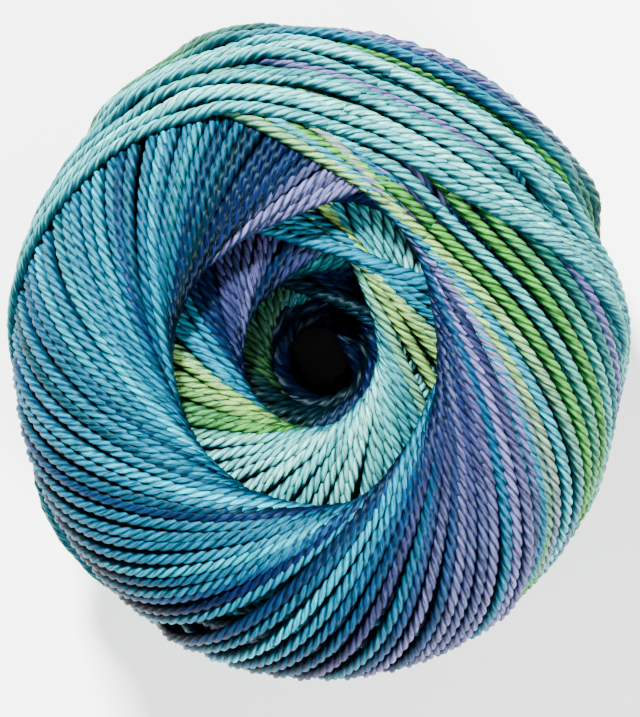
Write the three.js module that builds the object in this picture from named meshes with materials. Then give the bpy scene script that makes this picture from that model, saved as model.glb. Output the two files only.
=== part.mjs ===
// A centre-pull ball of plied cotton yarn, wound on a spindle that has been drawn out.
// Every turn runs over one end of the ball, down the side and back under the other end,
// so both ends show the same rosette of overlapping bands round an open hole.
// Millimetres, +Z up along the hole, origin at the middle of the flat the ball rests on.
import * as THREE from 'three';

// Driving dimensions of the wound form
const BALL_RADIUS = 41;
const WIDTH_SHARE = 0.98;
const DEPTH_SHARE = 1.02;
const YARN_WIDTH = 1.65;
const SHELL_HALF_HEIGHT = 29;
const SHELL_POWER = 3;
const HALF_HEIGHT_AT_REST = 28;
const NECK_RADIUS = 5.6;
const NECK_FLARE = 6.3;
const NECK_HALF_LENGTH = 8.5;

// Heights of the two sunken terraces inside the funnel, above the middle of the ball
const INNERMOST_LOW = 12;
const INNERMOST_HIGH = 16;
const ROSETTE_LOW = 20.5;
const ROSETTE_HIGH = 22.6;
const STEP_RUN = 0.9 * YARN_WIDTH;

// How finely the surface is divided
const ROUND_STEPS = 90;
const SHELL_STEPS = 14;
const FADE_LOW = 2;
const FADE_HIGH = 17;
const EDGE_RISE = 1.2;
const EDGE_POWER = 9;
const HALVINGS = 24;

// Inner edges of the outer windings: where each band passes closest to the hole
const OUTER_EDGES = [
  { azimuth: 112, near: 18.2 },
  { azimuth: 146, near: 19.6 },
  { azimuth: 180, near: 20.4 },
  { azimuth: 238, near: 19.6 },
  { azimuth: 280, near: 19.3 },
  { azimuth: 322, near: 16.2 },
  { azimuth: 5, near: 16.4 },
  { azimuth: 42, near: 20.2 },
];

// Inner edges of the rosette one terrace down
const ROSETTE_EDGES = [
  { azimuth: 160, near: 12.4 },
  { azimuth: 235, near: 10.4 },
  { azimuth: 300, near: 10.6 },
  { azimuth: 20, near: 11.4 },
  { azimuth: 90, near: 11.0 },
];

// Inner edges of the oldest turns, round the mouth of the neck
const INNERMOST_EDGES = [
  { azimuth: 80, near: 7.4 },
  { azimuth: 150, near: 7.7 },
  { azimuth: 215, near: 7.3 },
  { azimuth: 290, near: 7.6 },
  { azimuth: 5, near: 7.9 },
];

// Bands that lie on the windings laid before them: lift falls away over the band's width
const BANDS = [
  { name: 'top tie', azimuth: 80, near: 26, lift: 2.2, width: 13, hold: 0.6 },
  { name: 'right', azimuth: 38, near: 20.4, lift: 1.3, width: 10, hold: 0.2 },
  { name: 'lower right', azimuth: 322, near: 16.4, lift: 1.3, width: 10, hold: 0.2 },
  { name: 'lower left', azimuth: 238, near: 19.8, lift: 0.8, width: 10, hold: 0.2 },
  { name: 'left', azimuth: 165, near: 20, lift: 0.8, width: 10, hold: 0.2 },
];

const smooth = (low, high, value) => THREE.MathUtils.smoothstep(value, low, high);
const radians = (degrees) => THREE.MathUtils.degToRad(degrees);

// Radius at which a turn crosses one azimuth. A turn lies in a plane through the middle of the
// ball, so its distance from the tilt axis grows in step with the height of the shell.
function turnRadius(turn, angle) {
  const away = Math.cos(angle - radians(turn.azimuth));
  if (away <= 0) return BALL_RADIUS;
  const slope = turn.near / shellHeight(turn.near);
  let low = turn.near;
  let high = BALL_RADIUS;
  for (let halving = 0; halving < HALVINGS; halving += 1) {
    const middle = (low + high) / 2;
    if (middle * away > slope * shellHeight(middle)) high = middle;
    else low = middle;
  }
  return (low + high) / 2;
}

// The hole's edge is the nearest turn at that azimuth, with the corners between turns rounded
function edgeRadius(turns, angle) {
  const total = turns.reduce((sum, turn) => sum + turnRadius(turn, angle) ** -EDGE_POWER, 0);
  return total ** (-1 / EDGE_POWER);
}

function shellHeight(radius) {
  const share = Math.min(1, radius / BALL_RADIUS) ** SHELL_POWER;
  return SHELL_HALF_HEIGHT * (1 - share) ** (1 / SHELL_POWER);
}

// How far the bands raise a point of the outer windings, given its place on one end of the ball
function bandLift(radius, angle, height) {
  const fade = smooth(FADE_LOW, FADE_HIGH, height);
  let lift = 0;
  for (const band of BANDS) {
    const edge = turnRadius(band, angle);
    const reach = (radius - edge) * (1 + (BALL_RADIUS - height) / (3 * BALL_RADIUS));
    const rise = smooth(-EDGE_RISE, EDGE_RISE, reach);
    const fall = 1 - smooth(band.hold * band.width, band.width, reach);
    lift += band.lift * rise * fall * fade;
  }
  return lift;
}

// Points from the neck's middle out to the rim, for one azimuth of one end
function halfSection(angle) {
  const innermost = edgeRadius(INNERMOST_EDGES, angle);
  const rosette = edgeRadius(ROSETTE_EDGES, angle);
  const outer = edgeRadius(OUTER_EDGES, angle);
  const lip = outer + STEP_RUN;
  const stations = [
    { radius: NECK_RADIUS, height: 0, steps: 0 },
    { radius: NECK_FLARE, height: NECK_HALF_LENGTH, steps: 3 },
    { radius: innermost, height: INNERMOST_LOW, steps: 1 },
    { radius: rosette, height: INNERMOST_HIGH, steps: 2 },
    { radius: rosette + STEP_RUN, height: ROSETTE_LOW, steps: 2 },
    { radius: outer, height: ROSETTE_HIGH, steps: 3 },
    { radius: lip, height: shellHeight(lip), steps: 2 },
  ];
  const points = [new THREE.Vector2(NECK_RADIUS, 0)];
  for (let at = 1; at < stations.length; at += 1) {
    const from = stations[at - 1];
    const to = stations[at];
    for (let step = 1; step <= to.steps; step += 1) {
      const share = step / to.steps;
      const radius = THREE.MathUtils.lerp(from.radius, to.radius, share);
      const height = THREE.MathUtils.lerp(from.height, to.height, share);
      points.push(new THREE.Vector2(radius, height));
    }
  }
  const start = Math.acos((lip / BALL_RADIUS) ** (SHELL_POWER / 2));
  for (let step = 1; step <= SHELL_STEPS; step += 1) {
    const turn = start * (1 - step / SHELL_STEPS);
    const radius = BALL_RADIUS * Math.cos(turn) ** (2 / SHELL_POWER);
    const height = SHELL_HALF_HEIGHT * Math.sin(turn) ** (2 / SHELL_POWER);
    points.push(new THREE.Vector2(radius, height));
  }
  return points.map((point) => raised(point, angle));
}

// Moves a point of the section out along the shell's own normal by what the bands add there
function raised(point, angle) {
  const lift = bandLift(point.x, angle, point.y);
  const normal = new THREE.Vector2(point.x / BALL_RADIUS ** 2, point.y / SHELL_HALF_HEIGHT ** 2);
  return point.clone().addScaledVector(normal.normalize(), lift);
}

// One closed section: up the neck and over the top end to the rim, then under and back.
// A turn that passes one side of the hole on top passes the other side below.
function wholeSection(angle) {
  const top = halfSection(angle);
  const bottom = halfSection(angle + Math.PI);
  const under = bottom.slice(1, -1).reverse();
  const below = under.map((point) => new THREE.Vector2(point.x, -point.y));
  return [...top, ...below];
}

function woundSolid() {
  const sections = [];
  for (let step = 0; step < ROUND_STEPS; step += 1) {
    sections.push(wholeSection((step / ROUND_STEPS) * 2 * Math.PI));
  }
  const around = sections[0].length;
  const positions = [];
  sections.forEach((section, step) => {
    const angle = (step / ROUND_STEPS) * 2 * Math.PI;
    for (const point of section) {
      const across = point.x * Math.cos(angle) * WIDTH_SHARE;
      const deep = point.x * Math.sin(angle) * DEPTH_SHARE;
      positions.push(across, deep, Math.max(0, point.y + HALF_HEIGHT_AT_REST));
    }
  });
  const faces = [];
  for (let step = 0; step < ROUND_STEPS; step += 1) {
    const next = (step + 1) % ROUND_STEPS;
    for (let ring = 0; ring < around; ring += 1) {
      const after = (ring + 1) % around;
      const a = step * around + ring;
      const b = next * around + ring;
      const c = next * around + after;
      const d = step * around + after;
      faces.push(a, c, b, a, d, c);
    }
  }
  const geometry = new THREE.BufferGeometry();
  geometry.setAttribute('position', new THREE.Float32BufferAttribute(positions, 3));
  geometry.setIndex(faces);
  geometry.computeVertexNormals();
  return geometry;
}

const cotton = new THREE.MeshStandardMaterial({ color: 0x5fb3bd, roughness: 0.72, metalness: 0 });

const ball = new THREE.Group();
const yarn = new THREE.Mesh(woundSolid(), cotton);
yarn.name = 'wound_yarn';
ball.add(yarn);

export default ball;
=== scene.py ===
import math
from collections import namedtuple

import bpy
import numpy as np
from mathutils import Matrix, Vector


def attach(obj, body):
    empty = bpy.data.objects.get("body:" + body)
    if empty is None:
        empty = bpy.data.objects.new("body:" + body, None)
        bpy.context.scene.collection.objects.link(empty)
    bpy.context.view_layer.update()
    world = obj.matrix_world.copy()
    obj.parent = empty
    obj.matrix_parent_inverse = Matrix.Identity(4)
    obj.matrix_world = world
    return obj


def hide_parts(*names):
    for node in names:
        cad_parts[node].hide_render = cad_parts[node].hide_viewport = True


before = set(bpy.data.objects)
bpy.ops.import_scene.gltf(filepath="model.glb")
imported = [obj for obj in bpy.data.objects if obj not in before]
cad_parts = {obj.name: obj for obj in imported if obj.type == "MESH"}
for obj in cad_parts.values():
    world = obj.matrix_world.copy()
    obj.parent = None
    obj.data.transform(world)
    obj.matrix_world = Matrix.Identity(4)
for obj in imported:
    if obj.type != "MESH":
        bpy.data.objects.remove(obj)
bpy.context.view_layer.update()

# %% [markdown]
# # A centre-pull ball of cotton yarn
# The object is one length of plied cotton, about 120 m long, wound by machine on a spindle that was
# drawn out afterwards. Every turn runs over one end of the ball, down the side, back under the
# other end and up again, and the machine moves on by a few degrees after each turn. So both ends
# show a rosette of overlapping bands, and the hole that the spindle left is open from end to end.
#
# The lesson rebuilds it in that order: the shells that the winding grew through, the path of one
# turn, the laying of one turn over another, then the strand itself, its dye and its fibres.

# %% [markdown]
# ## The shells of the winding
# A spindle winder turns the ball while the yarn is led round it at a tilt, so the ball grows as a
# stack of smooth closed shells. Their section is rounder than a box and boxier than an ellipse: a
# superellipse of power three. Each shell is given by its rim radius and its half height. Later
# shells are wider and taller, and their turns keep further from the hole, which makes the funnel.

# %% Dimensions of the yarn and its shells, in millimetres from the middle of the ball
YARN_WIDTH = 1.65
STRAND_STEP = 0.8
SHELL_POWER = 3.0
HALF_HEIGHT_AT_REST = 28.0
METRE = 0.001
WIDTH_SHARE = 0.98
DEPTH_SHARE = 1.02
Shell = namedtuple("Shell", "rim half")
NECK_SHELL = Shell(rim=6.2, half=12.5)
INNERMOST_SHELL = Shell(rim=31.0, half=12.4)
ROSETTE_SHELL = Shell(rim=33.6, half=18.6)
UNDER_SHELL = Shell(rim=35.6, half=23.2)
OUTER_SHELL = Shell(rim=37.2, half=26.0)


def shell_height(shell, radius):
    share = np.minimum(1.0, np.abs(radius) / shell.rim)
    return shell.half * (1.0 - share**SHELL_POWER) ** (1.0 / SHELL_POWER)


def shell_level(shell, radius, height):
    across = (np.abs(radius) / shell.rim) ** SHELL_POWER
    return across + (np.abs(height) / shell.half) ** SHELL_POWER


def shell_normal(shell, points):
    radius = np.maximum(np.hypot(points[:, 0], points[:, 1]), 1e-6)
    outward = (radius / shell.rim) ** (SHELL_POWER - 1.0) / shell.rim
    upward = np.abs(points[:, 2] / shell.half) ** (SHELL_POWER - 1.0) / shell.half
    x = outward * points[:, 0] / radius
    y = outward * points[:, 1] / radius
    normal = np.stack([x, y, upward * np.sign(points[:, 2])], axis=1)
    return normal / np.linalg.norm(normal, axis=1)[:, None]


for shell_name, shell in (("innermost", INNERMOST_SHELL), ("outer", OUTER_SHELL)):
    print(shell_name, "shell at 20 mm from the axis:", round(float(shell_height(shell, 20.0)), 1), "mm")

# %% [markdown]
# ## The path of one turn
# A taut turn takes the shortest way round, which lies close to one plane through the middle of the
# ball. The plane is tilted, so the turn passes the hole on one side on top and on the other side
# below. Two numbers give it: the azimuth at which it comes closest to the hole, and how near. A
# turn that lies over a hump slips sideways, so its two halves may follow two slightly different
# planes, and the path passes smoothly from one to the other over the top.

# %% One turn as a closed line on its shell
TURN_SAMPLES = 720
HALVINGS = 30
OUTER_GUESS = 1.8
CROSSING = (-0.35, 0.55)


def smooth(low, high, value):
    share = np.clip((value - low) / (high - low), 0.0, 1.0)
    return share * share * (3.0 - 2.0 * share)


def plane_section(shell, azimuth, near, far):
    """Closed line where the tilted plane cuts the shell, sampled by the angle round its middle."""
    slope = (near + far) / (shell_height(shell, near) + shell_height(shell, far))
    offset = near - slope * shell_height(shell, near)
    angle = np.linspace(0.0, 2.0 * np.pi, TURN_SAMPLES, endpoint=False)
    long = math.hypot(slope, 1.0)
    along_p = np.cos(angle) * slope / long
    along_z = np.cos(angle) / long
    along_q = np.sin(angle)
    low = np.zeros(TURN_SAMPLES)
    high = np.full(TURN_SAMPLES, shell.rim * OUTER_GUESS)
    for _ in range(HALVINGS):
        middle = (low + high) / 2.0
        radius = np.hypot(offset + middle * along_p, middle * along_q)
        inside = shell_level(shell, radius, middle * along_z) < 1.0
        low = np.where(inside, middle, low)
        high = np.where(inside, high, middle)
    p = offset + low * along_p
    q = low * along_q
    turn = math.radians(azimuth)
    x = p * math.cos(turn) - q * math.sin(turn)
    y = p * math.sin(turn) + q * math.cos(turn)
    return np.stack([x, y, low * along_z], axis=1)


def resampled(points, values, step):
    """Points at even steps along a closed line, with the values carried by it."""
    closed = np.vstack([points, points[:1]])
    length = np.linalg.norm(np.diff(closed, axis=0), axis=1)
    station = np.concatenate([[0.0], np.cumsum(length)])
    count = int(round(station[-1] / step))
    at = np.arange(count) * station[-1] / count
    line = np.stack([np.interp(at, station, closed[:, k]) for k in range(3)], axis=1)
    carried = np.interp(at, station, np.append(values, values[0] + 2.0 * np.pi))
    return line, carried


def turn_path(shell, azimuth, near, far, fore_azimuth, fore_near):
    """One turn: its first half follows one plane, its second half another close to it."""
    angle = np.linspace(0.0, 2.0 * np.pi, TURN_SAMPLES, endpoint=False)
    path = plane_section(shell, azimuth, near, far)
    if fore_azimuth != azimuth or fore_near != near:
        fore = plane_section(shell, fore_azimuth, fore_near, far + fore_near - near)
        share = smooth(*CROSSING, np.sin(angle))[:, None]
        path = path * (1.0 - share) + fore * share
        radius = np.hypot(path[:, 0], path[:, 1])
        path = path * (shell_level(shell, radius, path[:, 2]) ** (-1.0 / SHELL_POWER))[:, None]
    return resampled(path, angle, STRAND_STEP)


sample_line, _ = turn_path(OUTER_SHELL, 0.0, 19.5, 19.5, 0.0, 19.5)
print("one outer turn:", round(len(sample_line) * STRAND_STEP / 10.0, 1), "cm of yarn")

# %% [markdown]
# ## Laying one turn over the others
# Neighbouring turns overlap like the blades of an iris: each lies on the one before where it comes
# up to the hole, and dives beneath the next one past it. A sine gives that slow dive. Turns laid
# long before are a firm ground: a turn is held out by them, and drawn taut between the places
# where it rests on them.

# %% Laying a turn
REST_GAP = 1.42
STACKED_SHARE = 0.8
IRIS_REACH = 0.85
RIM_FADE = 9.0
PILE_HEIGHT = 8.0
SAG = 0.06
TAUT_ROUNDS = 300
BATCH = 32


def iris_heights(path, azimuth, near, lift):
    """How high a turn lies over its shell among its neighbours: its open half up, the other down."""
    turn = math.radians(azimuth)
    across = path[:, 1] * math.cos(turn) - path[:, 0] * math.sin(turn)
    share = np.clip(across / (IRIS_REACH * near), -1.0, 1.0)
    side = np.clip(path[:, 2] / RIM_FADE, -1.0, 1.0)
    return -lift * np.sin(share * np.pi / 2.0) * side


def heights_over(path, normals, beneath, height):
    """The same heights, raised where turns laid long before lie in the way."""
    height = height.copy()
    middle = path.mean(axis=0)
    plane = np.linalg.svd(path - middle, full_matrices=False)[2][2]
    leaning = np.abs(normals @ plane)
    spread = (np.abs((path - middle) @ plane) + leaning * PILE_HEIGHT).max() + REST_GAP
    close = beneath[np.abs((beneath - middle) @ plane) < spread]
    for start in range(0, len(path), BATCH):
        part = slice(start, start + BATCH)
        centre = path[part].mean(axis=0)
        radius = np.linalg.norm(path[part] - centre, axis=1).max() + PILE_HEIGHT + REST_GAP
        others = close[np.linalg.norm(close - centre, axis=1) < radius]
        if len(others) == 0:
            continue
        apart = others[None, :, :] - path[part, None]
        up = np.einsum("ijk,ik->ij", apart, normals[part])
        beside = np.einsum("ijk,ijk->ij", apart, apart) - up * up
        rise = STACKED_SHARE * np.sqrt(np.maximum(0.0, REST_GAP * REST_GAP - beside))
        need = np.where(beside < REST_GAP * REST_GAP, up + rise, -PILE_HEIGHT)
        height[part] = np.maximum(height[part], need.max(axis=1))
    support = height.copy()
    drop = SAG * STRAND_STEP * STRAND_STEP / 2.0
    for _ in range(TAUT_ROUNDS):
        height = np.maximum(support, (np.roll(height, 1) + np.roll(height, -1)) / 2.0 - drop)
    return height


# %% [markdown]
# ## The bands of turns
# The winding is laid in layers. The neck turns line the hole and the innermost turns its mouth, the
# rosette turns make the terrace inside the funnel, and the under turns fill what shows between the
# last ones.
# The last round of the machine makes five bands, laid one after another and each over the one
# before. A row gives a turn's place in its band as a share, then where it runs: the azimuth keeps
# counting past a full round, and near and far are distances from the axis on top and below, in
# millimetres. The fore azimuth and fore near say the same for the first half of a turn, where that
# half follows a plane of its own. Lift is how far the iris of the band rises and dives.

# %% Where the turns of each band run
Row = namedtuple("Row", "share azimuth near far fore_azimuth fore_near")
Band = namedtuple("Band", "name shell count lift rows")


def even_rows(first, last, near):
    """A band whose turns keep one distance from the hole while the azimuth moves on."""
    return [Row(0, first, near, near, first, near), Row(1, last, near, near, last, near)]


BANDS = [
    Band("neck", NECK_SHELL, 26, 0.6, even_rows(20, 500, 4.3)),
    Band("innermost", INNERMOST_SHELL, 36, 1.8, even_rows(60, 430, 7.2)),
    Band(
        "rosette",
        ROSETTE_SHELL,
        58,
        2.2,
        [
            Row(0, 85, 11.0, 11.0, 85, 11.0),
            Row(0.25, 175, 11.0, 11.0, 175, 11.0),
            Row(0.5, 260, 9.8, 9.8, 260, 9.8),
            Row(0.75, 350, 7.9, 7.9, 350, 7.9),
            Row(0.86, 385, 8.8, 8.8, 385, 8.8),
            Row(0.9, 402, 12.2, 12.2, 402, 12.2),
            Row(1, 432, 12.8, 12.8, 432, 12.8),
        ],
    ),
    Band("under", UNDER_SHELL, 44, 1.4, even_rows(90, 446, 19.6)),
    Band(
        "upper_left",
        OUTER_SHELL,
        18,
        2.8,
        [
            Row(0, 110, 17.9, 17.9, 110, 17.9),
            Row(0.5, 146, 19.3, 19.3, 146, 19.3),
            Row(1, 180, 20.0, 20.0, 180, 20.0),
        ],
    ),
    Band(
        "lower_left",
        OUTER_SHELL,
        32,
        2.8,
        [
            Row(0, 184, 20.0, 20.0, 184, 20.0),
            Row(0.42, 238, 19.3, 19.3, 238, 19.3),
            Row(0.85, 296, 18.8, 18.8, 296, 18.8),
            Row(1, 315, 16.6, 16.6, 315, 16.6),
        ],
    ),
    Band(
        "lower_right",
        OUTER_SHELL,
        18,
        3.4,
        [
            Row(0, 322, 15.8, 15.8, 322, 15.8),
            Row(0.6, 365, 15.9, 15.9, 365, 15.9),
            Row(1, 386, 17.6, 17.6, 386, 17.6),
        ],
    ),
    Band(
        "right",
        OUTER_SHELL,
        15,
        2.2,
        [
            Row(0, 386, 18.6, 18.6, 390, 18.4),
            Row(0.33, 398, 18.9, 18.9, 404, 18.4),
            Row(0.4, 404, 19.2, 19.2, 412, 18.4),
            Row(1, 417, 33.0, 21.0, 420, 32.5),
        ],
    ),
    Band(
        "top",
        OUTER_SHELL,
        11,
        0.3,
        [
            Row(0, 436, 23.0, 22.8, 464, 31.8),
            Row(1, 424, 35.4, 24.0, 436, 35.6),
        ],
    ),
]

# %% Lay every turn in the order of the machine
AZIMUTH_SCATTER = 0.5
NEAR_SCATTER = 0.22
IRIS_SPAN = 25.0
WINDING_SEED = 5
Turn = namedtuple("Turn", "band place azimuth points angle height")
chance = np.random.default_rng(WINDING_SEED)
turns = []


def points_beneath(band, azimuth):
    """Points of the turns that a new turn rests on: laid long before it on the same shell.
    The top band lies on all the others of its shell, and never on its own turns."""
    span = 0.0 if band.name == "top" else IRIS_SPAN
    firm = {other.name for other in BANDS if other.shell == band.shell and other.name != "top"}
    found = [t.points for t in turns if t.band in firm and t.azimuth < azimuth - span]
    return np.vstack(found) if found else np.zeros((0, 3))


for band in BANDS:
    shares = [row.share for row in band.rows]
    for index in range(band.count):
        place = index / (band.count - 1)
        columns = [np.interp(place, shares, [row[k] for row in band.rows]) for k in range(1, 6)]
        azimuth, near, far, fore_azimuth, fore_near = columns
        turned = chance.normal(0.0, AZIMUTH_SCATTER)
        moved = chance.normal(0.0, NEAR_SCATTER)
        path, angle = turn_path(
            band.shell,
            azimuth + turned,
            near + moved,
            far + moved,
            fore_azimuth + turned,
            fore_near + moved,
        )
        normals = shell_normal(band.shell, path)
        height = iris_heights(path, azimuth, near, band.lift)
        height = heights_over(path, normals, points_beneath(band, azimuth), height)
        points = path + normals * height[:, None]
        turns.append(Turn(band.name, place, azimuth, points, angle, height))

laid_count = sum(len(turn.points) for turn in turns)
print("turns laid:", len(turns), " yarn in them:", round(laid_count * STRAND_STEP / 1000.0, 1), "m")
for band in BANDS:
    held = np.concatenate([turn.height for turn in turns if turn.band == band.name])
    print(band.name, "held up by", round(float(held.mean()), 2), "mm, at most", round(float(held.max()), 2))

# %% [markdown]
# ## What can be seen
# A real ball hides most of its yarn. Only stretches that show from some side are worth making, so
# the laid turns are looked at from many directions, and each keeps what no other turn hides, with
# a little more at both ends so that it dips under its neighbours.

# %% Ball coordinates to the frame, and the flat that the ball rests on
FLAT_CENTRE_HEIGHT = 0.47 * YARN_WIDTH


def placed(points):
    """From millimetres round the ball's middle to millimetres in the frame."""
    x = points[:, 0] * WIDTH_SHARE
    y = points[:, 1] * DEPTH_SHARE
    z = np.maximum(points[:, 2] + HALF_HEIGHT_AT_REST, FLAT_CENTRE_HEIGHT)
    return np.stack([x, y, z], axis=1)


lines = [placed(turn.points) for turn in turns]
everything = np.vstack(lines)
print("strand centres, mm:", everything.min(axis=0).round(1), everything.max(axis=0).round(1))

# %% Find the stretches that show
VIEW_COUNT = 72
STEEP_VIEWS = (1.0, 0.97, 0.9)
PIXEL = 0.33
SEEN_RADIUS = 0.8
SEEN_CELLS = 2
SEEN_VIEWS = 2
END_POINTS = 3
BRIDGED_POINTS = 5
BAND_REACH = {"neck": 11.0, "innermost": 15.0, "rosette": 23.0}
GOLDEN_ANGLE = math.pi * (3.0 - math.sqrt(5.0))
ODD_DIRECTION = (0.13, 0.29, 0.95)
CELL_MARGIN = 4


def seen_from(points, view):
    """Marks the points whose stretch of strand shows plainly to a far eye in that direction."""
    right = np.cross(ODD_DIRECTION, view)
    right = right / np.linalg.norm(right)
    above = np.cross(view, right)
    column = np.round(points @ right / PIXEL).astype(int)
    row = np.round(points @ above / PIXEL).astype(int)
    column = column - column.min() + CELL_MARGIN
    row = row - row.min() + CELL_MARGIN
    width = column.max() + CELL_MARGIN + 1
    reach = int(SEEN_RADIUS / PIXEL) + 1
    cells = []
    depths = []
    for i in range(-reach, reach + 1):
        for j in range(-reach, reach + 1):
            beside = math.hypot(i, j) * PIXEL
            if beside < SEEN_RADIUS:
                cells.append((row + j) * width + column + i)
                depths.append(points @ view + math.sqrt(SEEN_RADIUS**2 - beside**2))
    owner = np.full((row.max() + CELL_MARGIN + 1) * width, -1)
    order = np.argsort(np.concatenate(depths))
    owner[np.concatenate(cells)[order]] = np.tile(np.arange(len(points)), len(cells))[order]
    return np.bincount(owner[owner >= 0], minlength=len(points)) >= SEEN_CELLS


shows = np.zeros(len(everything), dtype=int)
for number in range(VIEW_COUNT):
    rise = 1.0 - 2.0 * (number + 0.5) / VIEW_COUNT
    around = number * GOLDEN_ANGLE
    level = math.sqrt(1.0 - rise * rise)
    shows += seen_from(everything, np.array([level * math.cos(around), level * math.sin(around), rise]))
for steepness in STEEP_VIEWS:
    lean = math.sqrt(1.0 - steepness * steepness)
    for across, up in ((0.0, lean), (lean, 0.0), (0.0, -lean), (-lean, 0.0)):
        shows += seen_from(everything, np.array([across, up, steepness]))


def widened(mask, count):
    """The closed mask with every shown stretch made longer at both ends."""
    wide = mask.copy()
    for shift in range(1, count + 1):
        wide |= np.roll(mask, shift) | np.roll(mask, -shift)
    return wide


def shown_runs(mask):
    """Index lists of the stretches of a closed turn that are kept."""
    if mask.all():
        return [np.append(np.arange(len(mask)), 0)]
    first = int(np.argmin(mask))
    order = (np.arange(len(mask)) + first) % len(mask)
    edges = np.flatnonzero(np.diff(np.concatenate([[0], mask[order].astype(int), [0]])))
    return [order[a:b] for a, b in zip(edges[::2], edges[1::2])]


runs = []
start = 0
for number, line in enumerate(lines):
    mask = shows[start : start + len(line)] >= SEEN_VIEWS
    if turns[number].band in BAND_REACH:
        points = turns[number].points
        mask &= np.hypot(points[:, 0], points[:, 1]) < BAND_REACH[turns[number].band]
    start += len(line)
    if mask.any():
        kept = widened(mask, END_POINTS + BRIDGED_POINTS)
        kept = ~widened(~kept, BRIDGED_POINTS)
        runs.extend((number, run) for run in shown_runs(kept))
kept_points = sum(len(run) for _, run in runs)
print("stretches that show:", len(runs), " share of the laid yarn:", round(kept_points / len(everything), 2))

# %% [markdown]
# ## The dye
# The yarn is dyed before it is wound, in runs of one colour that pass into the next: turquoise,
# teal, mint, green, lavender, indigo, navy. An outer turn takes about 23 cm, and a dye lasts from
# half a turn to a few turns, so a band runs through many. Each band lists its dyes in laying
# order, once for where its turns come up from the side and once for where they pass the hole.

# %% Dyes
DYE_DEPTH = 1.45
DYE_STRENGTH = 0.46
DYE_CHANGE = (0.25, 0.75)
DYES = {
    "aqua": (36, 180, 196),
    "turquoise": (8, 130, 152),
    "deep_turquoise": (3, 88, 112),
    "teal": (16, 102, 108),
    "grey_teal": (74, 146, 150),
    "mint": (98, 176, 178),
    "pale_mint": (142, 210, 206),
    "leaf": (96, 156, 84),
    "yellow_green": (146, 180, 116),
    "sea_green": (34, 118, 94),
    "olive": (50, 84, 56),
    "lavender": (124, 122, 160),
    "grey_lavender": (86, 88, 124),
    "violet": (58, 64, 102),
    "indigo": (28, 48, 94),
    "navy": (10, 40, 76),
    "blue": (28, 84, 120),
    "dark_teal": (4, 48, 58),
}
BAND_DYES = {
    # The neck and innermost turns get only dark colours: partly their own dyes, partly painted shade deep in
    # the hole.
    "neck": ("navy dark_teal navy", "navy navy dark_teal navy"),
    "innermost": (
        "navy dark_teal dark_teal teal olive olive dark_teal navy indigo navy",
        "dark_teal dark_teal teal olive olive dark_teal dark_teal navy indigo navy dark_teal",
    ),
    "rosette": (
        "teal teal navy indigo grey_lavender grey_lavender indigo turquoise leaf teal pale_mint"
        " mint mint teal teal turquoise leaf turquoise turquoise",
        "navy teal violet navy grey_lavender violet navy turquoise yellow_green leaf mint"
        " pale_mint mint pale_mint mint grey_teal yellow_green turquoise turquoise",
    ),
    "under": (
        "indigo navy deep_turquoise blue violet navy",
        "navy deep_turquoise indigo teal violet indigo",
    ),
    "upper_left": (
        "lavender grey_lavender lavender navy grey_lavender navy navy indigo navy indigo navy"
        " deep_turquoise navy turquoise deep_turquoise turquoise aqua turquoise",
        "lavender lavender grey_lavender lavender grey_lavender navy navy indigo navy navy navy"
        " navy dark_teal navy navy deep_turquoise dark_teal deep_turquoise",
    ),
    "lower_left": (
        "turquoise aqua turquoise turquoise deep_turquoise turquoise aqua turquoise turquoise"
        " teal turquoise aqua turquoise deep_turquoise turquoise teal turquoise blue turquoise"
        " turquoise blue turquoise turquoise blue turquoise indigo turquoise blue navy turquoise",
        "deep_turquoise turquoise deep_turquoise navy indigo deep_turquoise turquoise"
        " deep_turquoise turquoise aqua turquoise deep_turquoise navy turquoise turquoise"
        " deep_turquoise turquoise aqua turquoise navy indigo turquoise deep_turquoise turquoise"
        " aqua turquoise deep_turquoise blue indigo turquoise",
    ),
    "lower_right": (
        "blue turquoise aqua turquoise blue turquoise blue grey_lavender turquoise blue lavender"
        " blue lavender lavender blue lavender lavender turquoise lavender lavender",
        "navy indigo turquoise turquoise blue indigo violet indigo violet navy violet"
        " grey_lavender indigo violet grey_lavender blue lavender violet",
    ),
    "right": (
        "turquoise blue turquoise leaf lavender mint turquoise leaf leaf leaf mint grey_teal"
        " lavender grey_teal leaf",
        "turquoise lavender turquoise lavender yellow_green turquoise yellow_green leaf mint leaf"
        " leaf sea_green lavender grey_teal leaf",
    ),
    "top": (
        "grey_teal grey_teal mint grey_teal mint grey_teal mint grey_teal mint leaf leaf leaf",
        "mint mint pale_mint mint grey_teal mint mint pale_mint mint turquoise blue lavender",
    ),
}


def linear(name):
    """A dye's sRGB numbers as scene-linear light, deepened as a dye is in a thick strand."""
    share = np.array(DYES[name]) / 255.0
    light = np.where(share < 0.04045, share / 12.92, ((share + 0.055) / 1.055) ** 2.4)
    return DYE_STRENGTH * light**DYE_DEPTH


def dye_at(listed, place):
    """The colour a share of the way along a list of dyes."""
    names = listed.split()
    colours = np.array([linear(name) for name in names])
    at = place * (len(names) - 1)
    low = min(int(at), len(names) - 2)
    share = smooth(*DYE_CHANGE, at - low)
    return colours[low] * (1.0 - share) + colours[low + 1] * share


def turn_colours(turn, scatter):
    """Colour of every point of a turn: side, hole, side and underside, blended round the turn."""
    side_names, hole_names = BAND_DYES[turn.band]
    side = dye_at(side_names, turn.place)
    hole = dye_at(hole_names, turn.place)
    towards_hole = (0.5 + 0.5 * np.cos(turn.angle * 2.0))[:, None]
    return np.clip((side * (1.0 - towards_hole) + hole * towards_hole) * scatter, 0.0, 1.0)


print("dyes:", len(DYES), " bands:", len(BAND_DYES))
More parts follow.
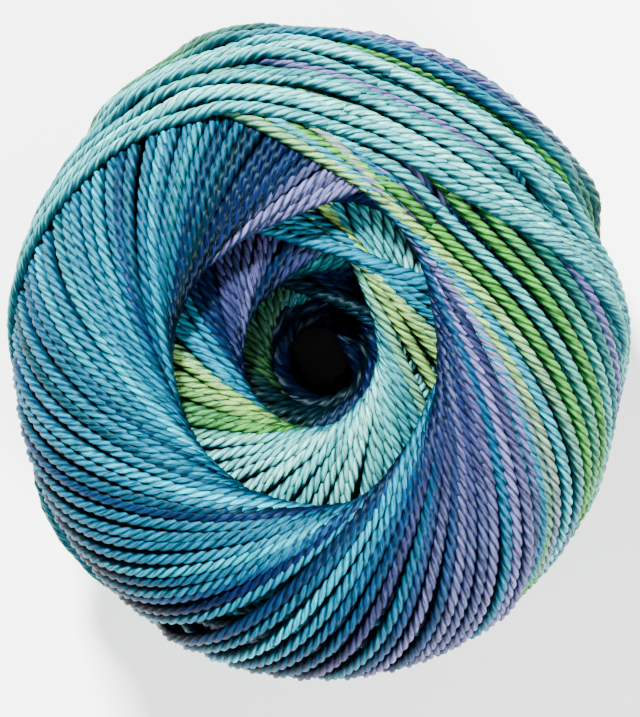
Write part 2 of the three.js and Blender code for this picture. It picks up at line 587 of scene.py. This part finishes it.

# %% [markdown]
# ## The strand
# The yarn is plied: four fine singles twisted together to the left, so the strand is a rope with
# four lobes that run round it once in about four strand widths. Each single is itself a bundle of
# fibres. A node tree sweeps a four-lobed section along every stretch and turns it steadily by the
# line's tilt, which makes the lobes wind. It also stores where each point lies round and along the
# strand, for the fibres, and where the grooves are and how far it faces out of the ball, for the
# painted shade between singles and strands and the painted highlight on their crowns.

# %% The node tree that turns lines into strands
LOBES = 4
POINTS_PER_LOBE = 3
GROOVE_DEPTH = 0.3
TWIST_PITCH = 6.2
STRAND_FILL = 1.04
STRAND_RADIUS = YARN_WIDTH / 2.0 * METRE * STRAND_FILL


def add_socket(tree, name, kind, direction, value=None):
    socket = tree.interface.new_socket(name, in_out=direction, socket_type=kind)
    if value is not None:
        socket.default_value = value
    return socket


def add_node(tree, kind, **settings):
    node = tree.nodes.new(kind)
    for name, value in settings.items():
        setattr(node, name, value)
    return node


def named_value(tree, name, kind):
    """A value that the geometry brings with it under a name."""
    node = add_node(tree, "GeometryNodeInputNamedAttribute", data_type=kind)
    node.inputs["Name"].default_value = name
    return node.outputs["Attribute"]


def stored(tree, geometry, name, kind, value):
    """The same geometry with one more named value on its points."""
    node = add_node(tree, "GeometryNodeStoreNamedAttribute", data_type=kind, domain="POINT")
    node.inputs["Name"].default_value = name
    tree.links.new(geometry, node.inputs["Geometry"])
    tree.links.new(value, node.inputs["Value"])
    return node.outputs["Geometry"]


def strand_tree():
    tree = bpy.data.node_groups.new("strand_sweep", "GeometryNodeTree")
    tree.is_modifier = True
    link = tree.links.new
    add_socket(tree, "Geometry", "NodeSocketGeometry", "INPUT")
    add_socket(tree, "Radius", "NodeSocketFloat", "INPUT", STRAND_RADIUS)
    add_socket(tree, "Groove", "NodeSocketFloat", "INPUT", GROOVE_DEPTH)
    add_socket(tree, "Lobes", "NodeSocketInt", "INPUT", LOBES)
    add_socket(tree, "Material", "NodeSocketMaterial", "INPUT")
    add_socket(tree, "Geometry", "NodeSocketGeometry", "OUTPUT")
    given = add_node(tree, "NodeGroupInput")
    line = add_node(tree, "GeometryNodeMeshToCurve")
    link(given.outputs["Geometry"], line.inputs["Mesh"])
    tilt = named_value(tree, "tilt", "FLOAT")
    turned = add_node(tree, "GeometryNodeSetCurveTilt")
    link(line.outputs["Curve"], turned.inputs["Curve"])
    link(tilt, turned.inputs["Tilt"])
    sides = add_node(tree, "ShaderNodeMath", operation="MULTIPLY")
    link(given.outputs["Lobes"], sides.inputs[0])
    sides.inputs[1].default_value = POINTS_PER_LOBE
    ring = add_node(tree, "GeometryNodeCurvePrimitiveCircle", mode="RADIUS")
    link(sides.outputs["Value"], ring.inputs["Resolution"])
    ring.inputs["Radius"].default_value = 1.0
    around = add_node(tree, "GeometryNodeInputPosition")
    rounded = stored(tree, ring.outputs["Curve"], "round", "FLOAT_VECTOR", around.outputs["Position"])
    index = add_node(tree, "GeometryNodeInputIndex")
    place = add_node(tree, "ShaderNodeMath", operation="MODULO")
    link(index.outputs["Index"], place.inputs[0])
    place.inputs[1].default_value = POINTS_PER_LOBE
    deep = add_node(tree, "ShaderNodeMath", operation="LESS_THAN")
    link(place.outputs["Value"], deep.inputs[0])
    deep.inputs[1].default_value = 0.5
    # The groove mark shapes the lobes and also places the painted shade in the grooves.
    grooved = stored(tree, rounded, "groove", "FLOAT", deep.outputs["Value"])
    depth = add_node(tree, "ShaderNodeMath", operation="MULTIPLY")
    link(deep.outputs["Value"], depth.inputs[0])
    link(given.outputs["Groove"], depth.inputs[1])
    share = add_node(tree, "ShaderNodeMath", operation="SUBTRACT")
    share.inputs[0].default_value = 1.0
    link(depth.outputs["Value"], share.inputs[1])
    radius = add_node(tree, "ShaderNodeMath", operation="MULTIPLY")
    link(share.outputs["Value"], radius.inputs[0])
    link(given.outputs["Radius"], radius.inputs[1])
    scaled = add_node(tree, "ShaderNodeVectorMath", operation="SCALE")
    link(around.outputs["Position"], scaled.inputs["Vector"])
    link(radius.outputs["Value"], scaled.inputs["Scale"])
    section = add_node(tree, "GeometryNodeSetPosition")
    link(grooved, section.inputs["Geometry"])
    link(scaled.outputs["Vector"], section.inputs["Position"])
    sweep = add_node(tree, "GeometryNodeCurveToMesh")
    link(turned.outputs["Curve"], sweep.inputs["Curve"])
    link(section.outputs["Geometry"], sweep.inputs["Profile Curve"])
    sweep.inputs["Fill Caps"].default_value = True
    back = add_node(tree, "ShaderNodeVectorRotate", rotation_type="Z_AXIS")
    link(named_value(tree, "round", "FLOAT_VECTOR"), back.inputs["Vector"])
    link(tilt, back.inputs["Angle"])
    raised = add_node(tree, "ShaderNodeCombineXYZ")
    link(named_value(tree, "along", "FLOAT"), raised.inputs["Z"])
    added = add_node(tree, "ShaderNodeVectorMath", operation="ADD")
    link(back.outputs["Vector"], added.inputs[0])
    link(raised.outputs["Vector"], added.inputs[1])
    fibred = stored(tree, sweep.outputs["Mesh"], "fibre", "FLOAT_VECTOR", added.outputs["Vector"])
    # How far each point faces out of the ball: the mask for the painted shade on the flanks and the painted
    # highlight on the crowns.
    facing = add_node(tree, "GeometryNodeInputNormal")
    open_side = add_node(tree, "ShaderNodeVectorMath", operation="DOT_PRODUCT")
    link(facing.outputs["Normal"], open_side.inputs[0])
    link(named_value(tree, "outward", "FLOAT_VECTOR"), open_side.inputs[1])
    faced = stored(tree, fibred, "open_side", "FLOAT", open_side.outputs["Value"])
    soft = add_node(tree, "GeometryNodeSetShadeSmooth")
    link(faced, soft.inputs["Geometry"])
    real = add_node(tree, "GeometryNodeRealizeInstances")
    link(soft.outputs["Geometry"], real.inputs["Geometry"])
    painted = add_node(tree, "GeometryNodeSetMaterial")
    link(real.outputs["Geometry"], painted.inputs["Geometry"])
    link(given.outputs["Material"], painted.inputs["Material"])
    result = add_node(tree, "NodeGroupOutput")
    link(painted.outputs["Geometry"], result.inputs["Geometry"])
    return tree


sweep_tree = strand_tree()
print("nodes in the tree:", len(sweep_tree.nodes))

# %% [markdown]
# ## The look of mercerised cotton
# The cotton has been treated to shine softly. Its colour is the dye with painted light on it: a
# painted highlight on the side that faces out of the ball, and painted shade, deeper and colder,
# in the grooves between the singles and on the flanks that lie against other strands. Fine fibres
# run along each single in lighter and darker streaks, partly their own tone and partly painted
# glints.

# %% Cotton material
FIBRE_STRETCH = (2.2, 2.2, 0.45)
FIBRE_DETAIL = 3.0
FIBRE_ROUGHNESS = 0.65
FIBRE_RANGE = (0.34, 0.66)
# Streaks lighter and darker than the dye: partly the fibres' own tone, partly painted glints.
FIBRE_TONE_AND_GLINT = (0.3, 2.1)
FIBRE_BUMP = 0.6
FIBRE_HEIGHT = 0.0001
# Painted shade in the grooves and on the flanks, and a painted highlight on the crown that faces out of the
# ball.
GROOVE_RANGE = (0.15, 0.8)
GROOVE_SHADE = (1.0, 0.1)
FLANK_RANGE = (0.3, 0.95)
FLANK_SHADE = (0.05, 1.0)
PAINTED_SHADE_TINT = (0.03, 0.18, 0.25)
PAINTED_HIGHLIGHT_TINT = (1.6, 1.5, 1.4)
SHINE_ROUGHNESS = 0.45
SHINE = 0.07
SHINE_TINT = (0.45, 0.85, 1.0, 1.0)


def mapped(tree, value, source, target, interpolation="SMOOTHSTEP"):
    """A value carried from one range into another."""
    node = add_node(tree, "ShaderNodeMapRange", interpolation_type=interpolation)
    tree.links.new(value, node.inputs["Value"])
    node.inputs["From Min"].default_value = source[0]
    node.inputs["From Max"].default_value = source[1]
    node.inputs["To Min"].default_value = target[0]
    node.inputs["To Max"].default_value = target[1]
    return node.outputs["Result"]


def cotton_material():
    material = bpy.data.materials.new("mercerised_cotton")
    material.use_nodes = True
    tree = material.node_tree
    link = tree.links.new
    shader = tree.nodes["Principled BSDF"]
    dye = add_node(tree, "ShaderNodeAttribute", attribute_name="dye")
    groove = add_node(tree, "ShaderNodeAttribute", attribute_name="groove")
    fibre = add_node(tree, "ShaderNodeAttribute", attribute_name="fibre")
    flank = add_node(tree, "ShaderNodeAttribute", attribute_name="open_side")
    stretched = add_node(tree, "ShaderNodeVectorMath", operation="MULTIPLY")
    link(fibre.outputs["Vector"], stretched.inputs[0])
    stretched.inputs[1].default_value = FIBRE_STRETCH
    streaks = add_node(tree, "ShaderNodeTexNoise")
    link(stretched.outputs["Vector"], streaks.inputs["Vector"])
    streaks.inputs["Scale"].default_value = 1.0
    streaks.inputs["Detail"].default_value = FIBRE_DETAIL
    streaks.inputs["Roughness"].default_value = FIBRE_ROUGHNESS
    # Painted light: painted shade in the grooves and on the flanks, a painted highlight on the crown that
    # faces out.
    painted_light = add_node(tree, "ShaderNodeMath", operation="MULTIPLY")
    link(mapped(tree, groove.outputs["Fac"], GROOVE_RANGE, GROOVE_SHADE), painted_light.inputs[0])
    link(mapped(tree, flank.outputs["Fac"], FLANK_RANGE, FLANK_SHADE), painted_light.inputs[1])
    tint = add_node(tree, "ShaderNodeMix", data_type="VECTOR", factor_mode="UNIFORM")
    link(painted_light.outputs["Value"], tint.inputs["Factor"])
    # Sockets four and five of a mix node are its two vectors.
    tint.inputs[4].default_value = PAINTED_SHADE_TINT
    tint.inputs[5].default_value = PAINTED_HIGHLIGHT_TINT
    # The dye times the painted shade and the painted highlight.
    dyed = add_node(tree, "ShaderNodeVectorMath", operation="MULTIPLY")
    link(dye.outputs["Color"], dyed.inputs[0])
    link(tint.outputs[1], dyed.inputs[1])
    colour = add_node(tree, "ShaderNodeVectorMath", operation="SCALE")
    link(dyed.outputs["Vector"], colour.inputs["Vector"])
    link(mapped(tree, streaks.outputs["Fac"], FIBRE_RANGE, FIBRE_TONE_AND_GLINT, "LINEAR"), colour.inputs["Scale"])
    link(colour.outputs["Vector"], shader.inputs["Base Color"])
    bump = add_node(tree, "ShaderNodeBump")
    link(streaks.outputs["Fac"], bump.inputs["Height"])
    bump.inputs["Strength"].default_value = FIBRE_BUMP
    bump.inputs["Distance"].default_value = FIBRE_HEIGHT
    link(bump.outputs["Normal"], shader.inputs["Normal"])
    shader.inputs["Roughness"].default_value = SHINE_ROUGHNESS
    shader.inputs["Specular IOR Level"].default_value = SHINE
    shader.inputs["Specular Tint"].default_value = SHINE_TINT
    return material


cotton = cotton_material()
print("material:", cotton.name)

# %% Sweep the strands, band by band
COLOUR_SCATTER = 0.07
FIBRE_SHIFT = 17.3
VALUE_FIELDS = {"FLOAT_COLOR": "color", "FLOAT_VECTOR": "vector", "FLOAT": "value"}
PIECES = {
    "yarn_inside": ["neck", "innermost"],
    "yarn_rosette": ["rosette"],
    "yarn_under": ["under"],
    "yarn_upper_left": ["upper_left"],
    "yarn_lower_left": ["lower_left"],
    "yarn_lower_right": ["lower_right"],
    "yarn_right": ["right"],
    "yarn_top": ["top"],
}
band_shells = {band.name: band.shell for band in BANDS}


def run_attributes(mesh, name, kind, values):
    layer = mesh.attributes.new(name, kind, "POINT")
    layer.data.foreach_set(VALUE_FIELDS[kind], np.asarray(values, dtype=np.float32).ravel())


def line_mesh(name, band_names):
    """The shown stretches of some bands as bare edges, with dye, tilt, length and outward side."""
    points = []
    edges = []
    dyes = []
    tilts = []
    alongs = []
    outwards = []
    base = 0
    for number, run in runs:
        turn = turns[number]
        if turn.band not in band_names:
            continue
        along = run_station[number][run]
        along = along[0] + np.arange(len(run)) * STRAND_STEP
        points.append(lines[number][run] * METRE)
        dyes.append(colours[number][run])
        alongs.append(along + number * FIBRE_SHIFT)
        outwards.append(shell_normal(band_shells[turn.band], turn.points)[run])
        tilts.append(-along / TWIST_PITCH * 2.0 * np.pi)
        first = np.arange(base, base + len(run) - 1)
        edges.append(np.stack([first, first + 1], axis=1))
        base += len(run)
    mesh = bpy.data.meshes.new(name)
    mesh.from_pydata(np.vstack(points).tolist(), np.vstack(edges).tolist(), [])
    shade = np.vstack(dyes)
    run_attributes(mesh, "dye", "FLOAT_COLOR", np.hstack([shade, np.ones((len(shade), 1))]))
    run_attributes(mesh, "tilt", "FLOAT", np.concatenate(tilts))
    run_attributes(mesh, "along", "FLOAT", np.concatenate(alongs))
    run_attributes(mesh, "outward", "FLOAT_VECTOR", np.vstack(outwards))
    return mesh


def swept_piece(name, band_names):
    """One piece of yarn: the lines of some bands, swept into four-lobed strands."""
    piece = bpy.data.objects.new(name, line_mesh(name, band_names))
    bpy.context.scene.collection.objects.link(piece)
    modifier = piece.modifiers.new("sweep", "NODES")
    modifier.node_group = sweep_tree
    inputs = [item for item in sweep_tree.interface.items_tree if item.in_out == "INPUT"]
    sockets = {item.name: item.identifier for item in inputs}
    modifier[sockets["Radius"]] = STRAND_RADIUS
    modifier[sockets["Groove"]] = GROOVE_DEPTH
    modifier[sockets["Lobes"]] = LOBES
    modifier[sockets["Material"]] = cotton
    bpy.context.view_layer.update()
    made = piece.evaluated_get(bpy.context.evaluated_depsgraph_get())
    mesh = bpy.data.meshes.new_from_object(made)
    piece.modifiers.remove(modifier)
    piece.data = mesh
    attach(piece, "root")
    faces = sum(len(p.vertices) - 2 for p in mesh.polygons)
    print(name, "triangles:", faces)
    return piece


run_station = [np.arange(len(line)) * STRAND_STEP for line in lines]
scatter = 1.0 + chance.normal(0.0, COLOUR_SCATTER, (len(turns), 1))
colours = [turn_colours(turn, scatter[k]) for k, turn in enumerate(turns)]
pieces = [swept_piece(name, band_names) for name, band_names in PIECES.items()]
for piece in pieces:
    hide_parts("wound_yarn")

# %% [markdown]
# ## The heart of the ball
# Beneath the innermost turns lies more of the same yarn, which never shows. One plain body
# stands for it, so that no light passes through the gaps between turns. Its dark colour is painted
# shade, the dark that shows in the deep gaps.

# %% The hidden heart
HEART_SECTION = [(7.6, 6.0), (9.5, 8.8), (19.0, 8.0), (25.0, 5.0), (27.0, 0.0)]
HEART_STEPS = 72
# Painted shade: the dark navy of the deep gaps between turns.
HEART_SHADE_COLOUR = (0.015, 0.06, 0.1, 1.0)


def heart_material():
    material = bpy.data.materials.new("hidden_cotton_painted_shade")
    material.use_nodes = True
    shader = material.node_tree.nodes["Principled BSDF"]
    shader.inputs["Base Color"].default_value = HEART_SHADE_COLOUR
    shader.inputs["Roughness"].default_value = 0.95
    return material


def heart_piece():
    lower = [(radius, -height) for radius, height in reversed(HEART_SECTION[:-1])]
    section = HEART_SECTION + lower
    count = len(section)
    points = []
    faces = []
    for step in range(HEART_STEPS):
        angle = 2.0 * math.pi * step / HEART_STEPS
        for radius, height in section:
            x = radius * math.cos(angle) * WIDTH_SHARE * METRE
            y = radius * math.sin(angle) * DEPTH_SHARE * METRE
            points.append((x, y, (height + HALF_HEIGHT_AT_REST) * METRE))
        after = (step + 1) % HEART_STEPS
        for k in range(count):
            ahead = (k + 1) % count
            corners = (step * count + k, step * count + ahead, after * count + ahead, after * count + k)
            faces.append(corners)
    mesh = bpy.data.meshes.new("yarn_heart")
    mesh.from_pydata(points, [], faces)
    mesh.materials.append(heart_material())
    mesh.validate()
    piece = bpy.data.objects.new("yarn_heart", mesh)
    bpy.context.scene.collection.objects.link(piece)
    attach(piece, "root")
    return piece


heart = heart_piece()
print("heart faces:", len(heart.data.polygons))

# %% [markdown]
# ## Floor, light and camera
# The picture is a plain one: the ball lies on a pale floor with its hole up, the camera looks
# straight down on it from far away. A small key lamp on the far left draws every strand, and a
# broader one on the near right lightens the shadows.

# %% Floor
FLOOR_HALF = 1.2
FLOOR_COLOUR = (0.86, 0.86, 0.86, 1.0)
floor_mesh = bpy.data.meshes.new("floor")
corners = [(-FLOOR_HALF, -FLOOR_HALF, 0), (FLOOR_HALF, -FLOOR_HALF, 0), (FLOOR_HALF, FLOOR_HALF, 0)]
corners.append((-FLOOR_HALF, FLOOR_HALF, 0))
floor_mesh.from_pydata(corners, [], [(0, 1, 2, 3)])
floor = bpy.data.objects.new("floor", floor_mesh)
bpy.context.scene.collection.objects.link(floor)
floor_paint = bpy.data.materials.new("floor_paint")
floor_paint.use_nodes = True
floor_shader = floor_paint.node_tree.nodes["Principled BSDF"]
floor_shader.inputs["Base Color"].default_value = FLOOR_COLOUR
floor_shader.inputs["Roughness"].default_value = 0.9
floor_mesh.materials.append(floor_paint)
print("floor width, m:", 2 * FLOOR_HALF)

# %% Light
Lamp = namedtuple("Lamp", "name place size power")
LAMPS = [
    Lamp("key", (-0.14, 0.34, 0.44), 0.08, 24.0),
    Lamp("fill", (0.3, -0.4, 0.36), 0.2, 15.0),
]
LAMP_AIM = (0.0, 0.0, 0.04)
ROOM_COLOUR = (0.95, 0.97, 1.0, 1.0)
ROOM_LIGHT = 0.3
for lamp in LAMPS:
    lamp_data = bpy.data.lights.new(lamp.name, "AREA")
    lamp_data.shape = "SQUARE"
    lamp_data.size = lamp.size
    lamp_data.energy = lamp.power
    holder = bpy.data.objects.new(lamp.name, lamp_data)
    holder.location = lamp.place
    aim = Vector(LAMP_AIM) - Vector(lamp.place)
    holder.rotation_euler = aim.to_track_quat("-Z", "Y").to_euler()
    bpy.context.scene.collection.objects.link(holder)
world = bpy.data.worlds.new("pale_room")
world.use_nodes = True
world.node_tree.nodes["Background"].inputs["Color"].default_value = ROOM_COLOUR
world.node_tree.nodes["Background"].inputs["Strength"].default_value = ROOM_LIGHT
bpy.context.scene.world = world
print("lamps:", [lamp.name for lamp in LAMPS])

# %% Camera
SENSOR = 36.0
PICTURE_HEIGHT = 0.0931
CAMERA_DISTANCE = 0.62
CAMERA_DOWN = 0.0003
PICTURE_PIXELS = (640, 717)
camera_data = bpy.data.cameras.new("camera")
camera_data.sensor_width = SENSOR
camera_data.lens = SENSOR * CAMERA_DISTANCE / PICTURE_HEIGHT
camera = bpy.data.objects.new("camera", camera_data)
camera.location = (0.0, -CAMERA_DOWN, HALF_HEIGHT_AT_REST * METRE + CAMERA_DISTANCE)
bpy.context.scene.collection.objects.link(camera)
bpy.context.scene.camera = camera
bpy.context.scene.render.resolution_x = PICTURE_PIXELS[0]
bpy.context.scene.render.resolution_y = PICTURE_PIXELS[1]
print("lens, mm:", round(camera_data.lens))
